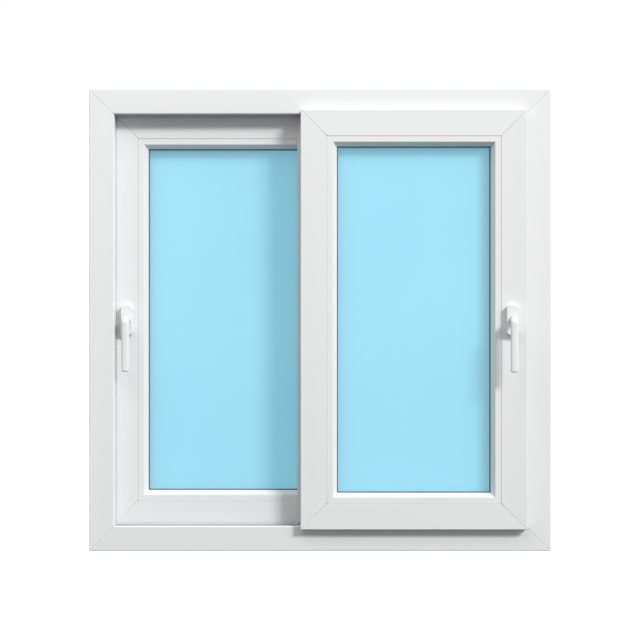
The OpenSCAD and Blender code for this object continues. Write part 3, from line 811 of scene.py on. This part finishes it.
def hardware():
    """Each CAD node that is shown as it is, with its material and how far its edges are eased."""
    for node, made, width in (
        ("frame_reinforcement", STEEL, 0.5), ("track_rails", RAIL, 0.3), ("lock_keeps", STEEL, 0.4),
        ("keep_screws", SCREW, 0.4), ("end_buffers", BUFFER, 1.2),
        ("drain_flap_left", CAP, 0.25), ("drain_flap_right", CAP, 0.25),
    ):
        carry_over(node, made, width)
    for side in SASHES:
        for part, made, width in (
            ("sash_reinforcement", STEEL, 0.5), ("inner_pane", INNER_GLASS, 0.5),
            ("outer_pane", OUTER_GLASS, 0.5), ("spacer_bar", SPACER, 0.4),
            ("roller_carriages", STEEL, 0.5), ("roller_inner", NYLON, 0.5), ("roller_outer", NYLON, 0.5),
            ("top_guides", GUIDE, 0.8), ("interlock", INTERLOCK, 0.3), ("handle_base", ZINC, 0.4),
            ("handle_screws", SCREW, 0.3), ("spindle", STEEL, 0.3), ("gearbox", ZINC, 0.5),
            ("pinion", PINION, 0.15), ("drive_rod", STEEL, 0.2),
        ):
            carry_over(f"{side}_{part}", made, width)


# ---------------------------------------------------------------- studio

def floor():
    """A pale floor, lit up to white as the camera sees it."""
    half_m = 12
    strength = 0.95
    mesh = bpy.data.meshes.new("floor")
    corners = [(-half_m, -half_m, 0), (half_m, -half_m, 0), (half_m, half_m, 0), (-half_m, half_m, 0)]
    mesh.from_pydata(corners, [], [(0, 1, 2, 3)])
    plane = bpy.data.objects.new("floor", mesh)
    bpy.context.scene.collection.objects.link(plane)
    made, nodes, links, shader = new_material("floor")
    shader.inputs["Base Color"].default_value = (0.14, 0.14, 0.14, 1)
    shader.inputs["Roughness"].default_value = 0.9
    shader.inputs["Specular IOR Level"].default_value = 0.1
    shader.inputs["Emission Color"].default_value = (1, 1, 1, 1)
    seen = nodes.new("ShaderNodeLightPath")
    glow = nodes.new("ShaderNodeMath")
    glow.operation = "MULTIPLY"
    glow.inputs[1].default_value = strength
    links.new(seen.outputs["Is Camera Ray"], glow.inputs[0])
    links.new(glow.outputs["Value"], shader.inputs["Emission Strength"])
    plane.data.materials.append(made)


def world():
    """White all round as the camera sees it, and a softer white as light."""
    ambient, backdrop = 0.48, 1.02
    made = bpy.data.worlds.new("studio")
    bpy.context.scene.world = made
    made.use_nodes = True
    nodes, links = made.node_tree.nodes, made.node_tree.links
    sky = nodes["Background"]
    sky.inputs["Color"].default_value = (1, 1, 1, 1)
    seen = nodes.new("ShaderNodeLightPath")
    level = nodes.new("ShaderNodeMapRange")
    level.inputs["To Min"].default_value = ambient
    level.inputs["To Max"].default_value = backdrop
    links.new(seen.outputs["Is Camera Ray"], level.inputs["Value"])
    links.new(level.outputs["Result"], sky.inputs["Strength"])


def soft_light(name, towards, distance_m, width_m, height_m, watts):
    """A soft box that stands in a direction from the middle of the object and shines on it."""
    middle = (cad_lo + cad_hi) / 2
    data = bpy.data.lights.new(name, "AREA")
    data.shape = "RECTANGLE"
    data.size = width_m
    data.size_y = height_m
    data.energy = watts
    lamp = bpy.data.objects.new(name, data)
    direction = Vector(towards).normalized()
    lamp.location = middle + direction * distance_m
    lamp.rotation_mode = "QUATERNION"
    lamp.rotation_quaternion = direction.to_track_quat("Z", "Y")
    lamp.visible_camera = False
    bpy.context.scene.collection.objects.link(lamp)


def camera():
    """Level with the middle of the window and square to it."""
    distance_m = 3.8
    room_y_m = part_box("frame_head")[0].y
    middle = (cad_lo + cad_hi) / 2
    data = bpy.data.cameras.new("camera")
    data.sensor_width = 36
    data.lens = 98.7
    view = bpy.data.objects.new("camera", data)
    view.location = (middle.x, room_y_m - distance_m, middle.z)
    view.rotation_euler = (math.pi / 2, 0, 0)
    bpy.context.scene.collection.objects.link(view)
    bpy.context.scene.camera = view


frame_members()
jamb_cover()
drain_cover_hoods()
frame_pile()
for name in SASHES:
    sash_members(name)
    glazing(name)
    handle_cover(name)
    lever(name)
edge_lip()
flange_pile()
hardware()
floor()
world()
soft_light("key", (0.84, -1, 0.81), 17.0, 4.3, 2.8, 2050)
soft_light("side", (1, -0.45, 0.5), 12.0, 3.6, 5.0, 146)
soft_light("fill", (-0.8, -1, 1.5), 3.5, 2.5, 2.0, 29)
soft_light("back", (-0.5, 1, 0.9), 4.5, 2.0, 2.0, 170)
camera()
bpy.context.scene.view_settings.view_transform = "Standard"
